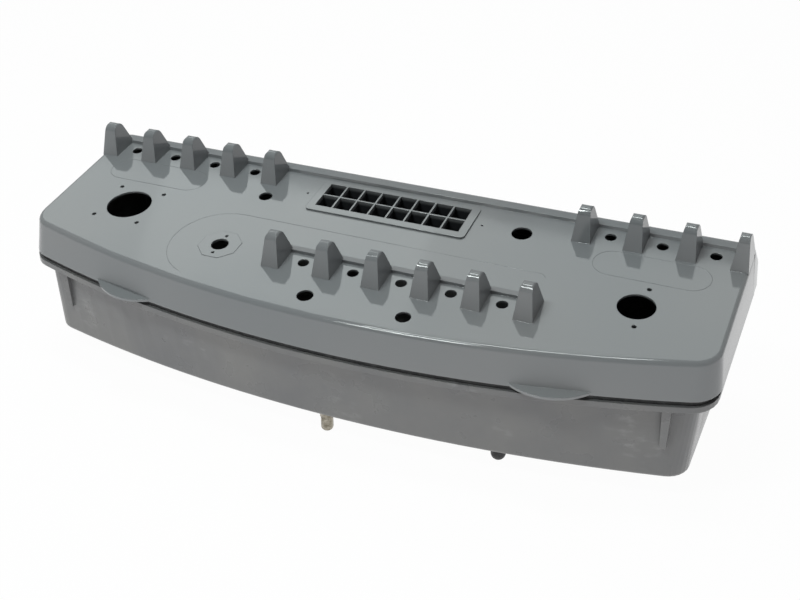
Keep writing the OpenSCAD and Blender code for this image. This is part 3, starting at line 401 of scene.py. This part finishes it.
def grid_plastic(base):
    finish = base.copy()
    finish.name = "grid_plastic"
    tree = finish.node_tree
    place = tree.nodes.new("ShaderNodeTexCoord")
    along = tree.nodes.new("ShaderNodeVectorMath")
    along.operation = "DOT_PRODUCT"
    along.inputs[1].default_value = DECK_UP
    tree.links.new(place.outputs["Object"], along.inputs[0])
    deck_level = DECK_START.dot(DECK_UP)
    fading = (deck_level - DARK_FROM, deck_level - PALE_TO)
    paleness = ranged(tree, along.outputs["Value"], fading, (0, 1))
    skin = tree.nodes["Principled BSDF"].inputs["Base Color"].links[0].from_socket
    use_for(finish, "Base Color", colour_mix(finish, paleness, CELL_PAINTED_SHADE, skin))
    return finish


# %% [markdown]
# ### Rubber, zinc and nickel
# Rubber is almost black and dull, with a fine dusty grain. Zinc-plated steel is pale with a
# cloudy sheen, and the nickel of the cable gland is warmer and a little worn.

# %% Fittings
def black_rubber():
    finish = new_finish("black_rubber", (0.022, 0.022, 0.023), roughness=0.6)
    dust = spread(finish, grain(finish, size=0.01, detail=4), 0, 1, taken=(0.45, 0.75))
    clean, dusty = (0.018, 0.018, 0.019), (0.04, 0.04, 0.04)
    use_for(finish, "Base Color", colour_mix(finish, dust, clean, dusty))
    use_for(finish, "Roughness", spread(finish, grain(finish, size=0.004, detail=3), 0.5, 0.72))
    relief(finish, grain(finish, size=0.0008, detail=2), depth=0.00003)
    return finish


def plating(name, colour, clouds, cloud_size, roughness, worn, grain_size, depth):
    """A metal plating, cloudy in colour and in sheen, with a fine grain."""
    finish = new_finish(name, colour, roughness, metallic=1)
    cloud = spread(finish, grain(finish, cloud_size, detail=4), 0, 1)
    use_for(finish, "Base Color", colour_mix(finish, cloud, *clouds))
    use_for(finish, "Roughness", spread(finish, grain(finish, size=0.003, detail=3), *worn))
    relief(finish, grain(finish, grain_size, detail=2), depth)
    return finish


def zinc_plate():
    return plating("zinc_plate", (0.62, 0.64, 0.66),
                   clouds=((0.55, 0.57, 0.59), (0.68, 0.69, 0.71)), cloud_size=0.006,
                   roughness=0.36, worn=(0.28, 0.46), grain_size=0.0006, depth=0.000006)


def nickel_plate():
    return plating("nickel_plate", (0.3, 0.27, 0.22),
                   clouds=((0.2, 0.18, 0.14), (0.4, 0.37, 0.31)), cloud_size=0.004,
                   roughness=0.3, worn=(0.26, 0.44), grain_size=0.0007, depth=0.000008)


FINISHES = {
    "lid_plastic": lid_plastic(),
    "tub_plastic": tub_plastic(),
    "rubber": black_rubber(),
    "zinc": zinc_plate(),
    "nickel": nickel_plate(),
}
FINISHES["grid_plastic"] = grid_plastic(FINISHES["lid_plastic"])

# %% [markdown]
# ## Finishes on the nodes
# The record says which finish each node has. The solids keep their meshes and only get a better
# material in place of the plain one that they came with.

# %% Give each node its finish
for part in frame["record"]["subparts"]:
    node = nodes[part["node"]]
    node.data.materials.clear()
    finish = "grid_plastic" if part["node"] == "lamp_grid" else part["material_slot"]
    node.data.materials.append(FINISHES[finish])
print("finished", len(nodes), "nodes")

# %% [markdown]
# ## Soft edges on the mouldings
# A mould has no knife edges: the guards, the rims of the holes, the lips and the bezel are all
# rounded by about a millimetre, and these small rounds are what catches the light. The solids
# have the large rounds already, and the plastics' shaders round the look of every edge. Here a
# copy of the lid's mesh is merged, its flat triangles are joined to whole faces, and the guards'
# edges get a true bevel as well. It is narrower than the shader's round, because narrow faces lie
# beside those edges and the bevel may not pass over them. The copy then stands in for the node.

# %% Helper that softens a node
MERGE = 0.05 * MM
FLAT_WITHIN = math.radians(0.4)
SMOOTH_BELOW = math.radians(32)


def start_skin(node_name, skin_name):
    """A copy of a node's mesh, merged and with whole faces, in edit mode."""
    bpy.ops.object.select_all(action="DESELECT")
    skin = bpy.data.objects.new(skin_name, nodes[node_name].data.copy())
    bpy.context.scene.collection.objects.link(skin)
    skin.select_set(True)
    bpy.context.view_layer.objects.active = skin
    bpy.ops.mesh.customdata_custom_splitnormals_clear()
    bpy.ops.object.mode_set(mode="EDIT")
    bpy.ops.mesh.select_mode(type="VERT")
    bpy.ops.mesh.select_all(action="SELECT")
    bpy.ops.mesh.remove_doubles(threshold=MERGE)
    bpy.ops.mesh.dissolve_limited(angle_limit=FLAT_WITHIN)
    bpy.ops.mesh.select_all(action="SELECT")
    bpy.ops.mesh.dissolve_degenerate(threshold=MERGE)
    return skin


def round_edges(skin, wanted, width):
    """Bevels the edges for which the test is true, as far as the room beside them allows."""
    bpy.ops.mesh.select_mode(type="EDGE")
    bpy.ops.mesh.select_all(action="DESELECT")
    mesh = bmesh.from_edit_mesh(skin.data)
    chosen = [edge for edge in mesh.edges if edge.is_manifold and wanted(edge)]
    for edge in chosen:
        edge.select_set(True)
    print("rounding", len(chosen), "edges of", skin.name)
    bmesh.update_edit_mesh(skin.data)
    bpy.ops.mesh.bevel(offset=width, segments=2, profile=0.5, clamp_overlap=True)


def end_skin(skin, body, node_name):
    """Back to object mode, shaded smooth with its large faces kept flat, in place of the node."""
    bpy.ops.object.mode_set(mode="OBJECT")
    bpy.ops.object.shade_smooth_by_angle(angle=SMOOTH_BELOW)
    weigh = skin.modifiers.new("flat_faces", "WEIGHTED_NORMAL")
    weigh.keep_sharp = True
    bpy.ops.object.modifier_apply(modifier=weigh.name)
    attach(skin, body)
    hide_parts(node_name)
    print(skin.name, "has", len(skin.data.polygons), "faces")


# %% [markdown]
# ### The lid
# On the lid two kinds of edge are softened, each by its own amount: the upright edges of the
# guards, and the line where the guards and the step meet the deck, which is a hollow edge. An edge
# is known by its height over the deck and by whether it bulges out or goes in, because the hollow
# insides of the guards have the same edges turned round.

# %% Lid skin
GUARD_ROUND = 0.9 * MM
FOOT_ROUND = 0.7 * MM
OVER_DECK = 0.3 * MM
ON_DECK_WITHIN = 0.1 * MM
SHARP = math.radians(27)


def guard_edge(edge):
    rises = [deck_place(corner.co)[2] for corner in edge.verts]
    return min(rises) > OVER_DECK and edge.calc_face_angle_signed() > SHARP


def foot_edge(edge):
    rises = [abs(deck_place(corner.co)[2]) for corner in edge.verts]
    return max(rises) < ON_DECK_WITHIN and edge.calc_face_angle_signed() < -SHARP


lid_skin = start_skin("lid", "lid_skin")
round_edges(lid_skin, guard_edge, GUARD_ROUND)
round_edges(lid_skin, foot_edge, FOOT_ROUND)
end_skin(lid_skin, "lid", "lid")

# %% [markdown]
# ## Fine raised lines on the deck
# Three fine lines stand on the deck, as witness marks of inserts in the mould: one goes round the
# knob's place and on behind the front row, and one goes round the switches of each rear row. They
# are only a quarter of a millimetre high. Each is a path of places measured on the deck in
# millimetres, and a thin round bead follows it, a little more than half sunk into the plastic.

# %% Paths and beads
BEAD_RADIUS = 0.4 * MM
BEAD_SINK = 0.15 * MM
BEAD_END = 0.45
ARC_STEP = math.radians(6)


def arc(centre, radius, start, end):
    """Places along an arc on the deck, between two angles in degrees."""
    first, last = math.radians(start), math.radians(end)
    count = max(2, math.ceil(abs(last - first) / ARC_STEP))
    turns = [first + (last - first) * i / count for i in range(count + 1)]
    return [(centre[0] + radius * math.cos(t), centre[1] + radius * math.sin(t)) for t in turns]


def bead(name, path, closed):
    """A thin round bead along a path on the deck, thinner at its open ends."""
    line = bpy.data.curves.new(name, "CURVE")
    line.dimensions = "3D"
    line.bevel_depth = BEAD_RADIUS
    line.bevel_resolution = 1
    line.use_fill_caps = True
    spline = line.splines.new("POLY")
    spline.points.add(len(path) - 1)
    spline.use_cyclic_u = closed
    for point, (across, back) in zip(spline.points, path):
        point.co = (*on_deck(across * MM, back * MM, -BEAD_SINK), 1)
    if not closed:
        spline.points[0].radius = spline.points[-1].radius = BEAD_END
    bpy.ops.object.select_all(action="DESELECT")
    line_object = bpy.data.objects.new(name, line)
    bpy.context.scene.collection.objects.link(line_object)
    line_object.select_set(True)
    bpy.context.view_layer.objects.active = line_object
    bpy.ops.object.convert(target="MESH")
    mark = bpy.context.object
    bpy.ops.object.shade_smooth()
    mark.data.materials.append(FINISHES["lid_plastic"])
    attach(mark, "lid")


def stadium(left, right, front, back):
    """The closed path of a slot shape on the deck, by its four limits."""
    radius = (back - front) / 2
    middle = (front + back) / 2
    return (arc((right - radius, middle), radius, -90, 90)
            + arc((left + radius, middle), radius, 90, 270))


# This line runs round the knob's hole, then straight to the right, and ends in a small bend
KNOB_PLACE = [size / MM for size in deck_place(Vector(mounts["knob"]["pos_m"]))]
KNOB_LINE = 58.8
BEND_ACROSS = 194
BEND_RADIUS = 9
BEND_PLACE = (BEND_ACROSS, KNOB_PLACE[1] + KNOB_LINE - BEND_RADIUS)
knob_line = (arc(KNOB_PLACE, KNOB_LINE, start=253, end=90)
             + arc(BEND_PLACE, BEND_RADIUS, start=90, end=20))
bead("knob_line", knob_line, closed=False)
bead("rear_left_line", stadium(left=-365, right=-235, front=83, back=124), closed=True)
bead("rear_right_line", stadium(left=240, right=363, front=79, back=120), closed=True)
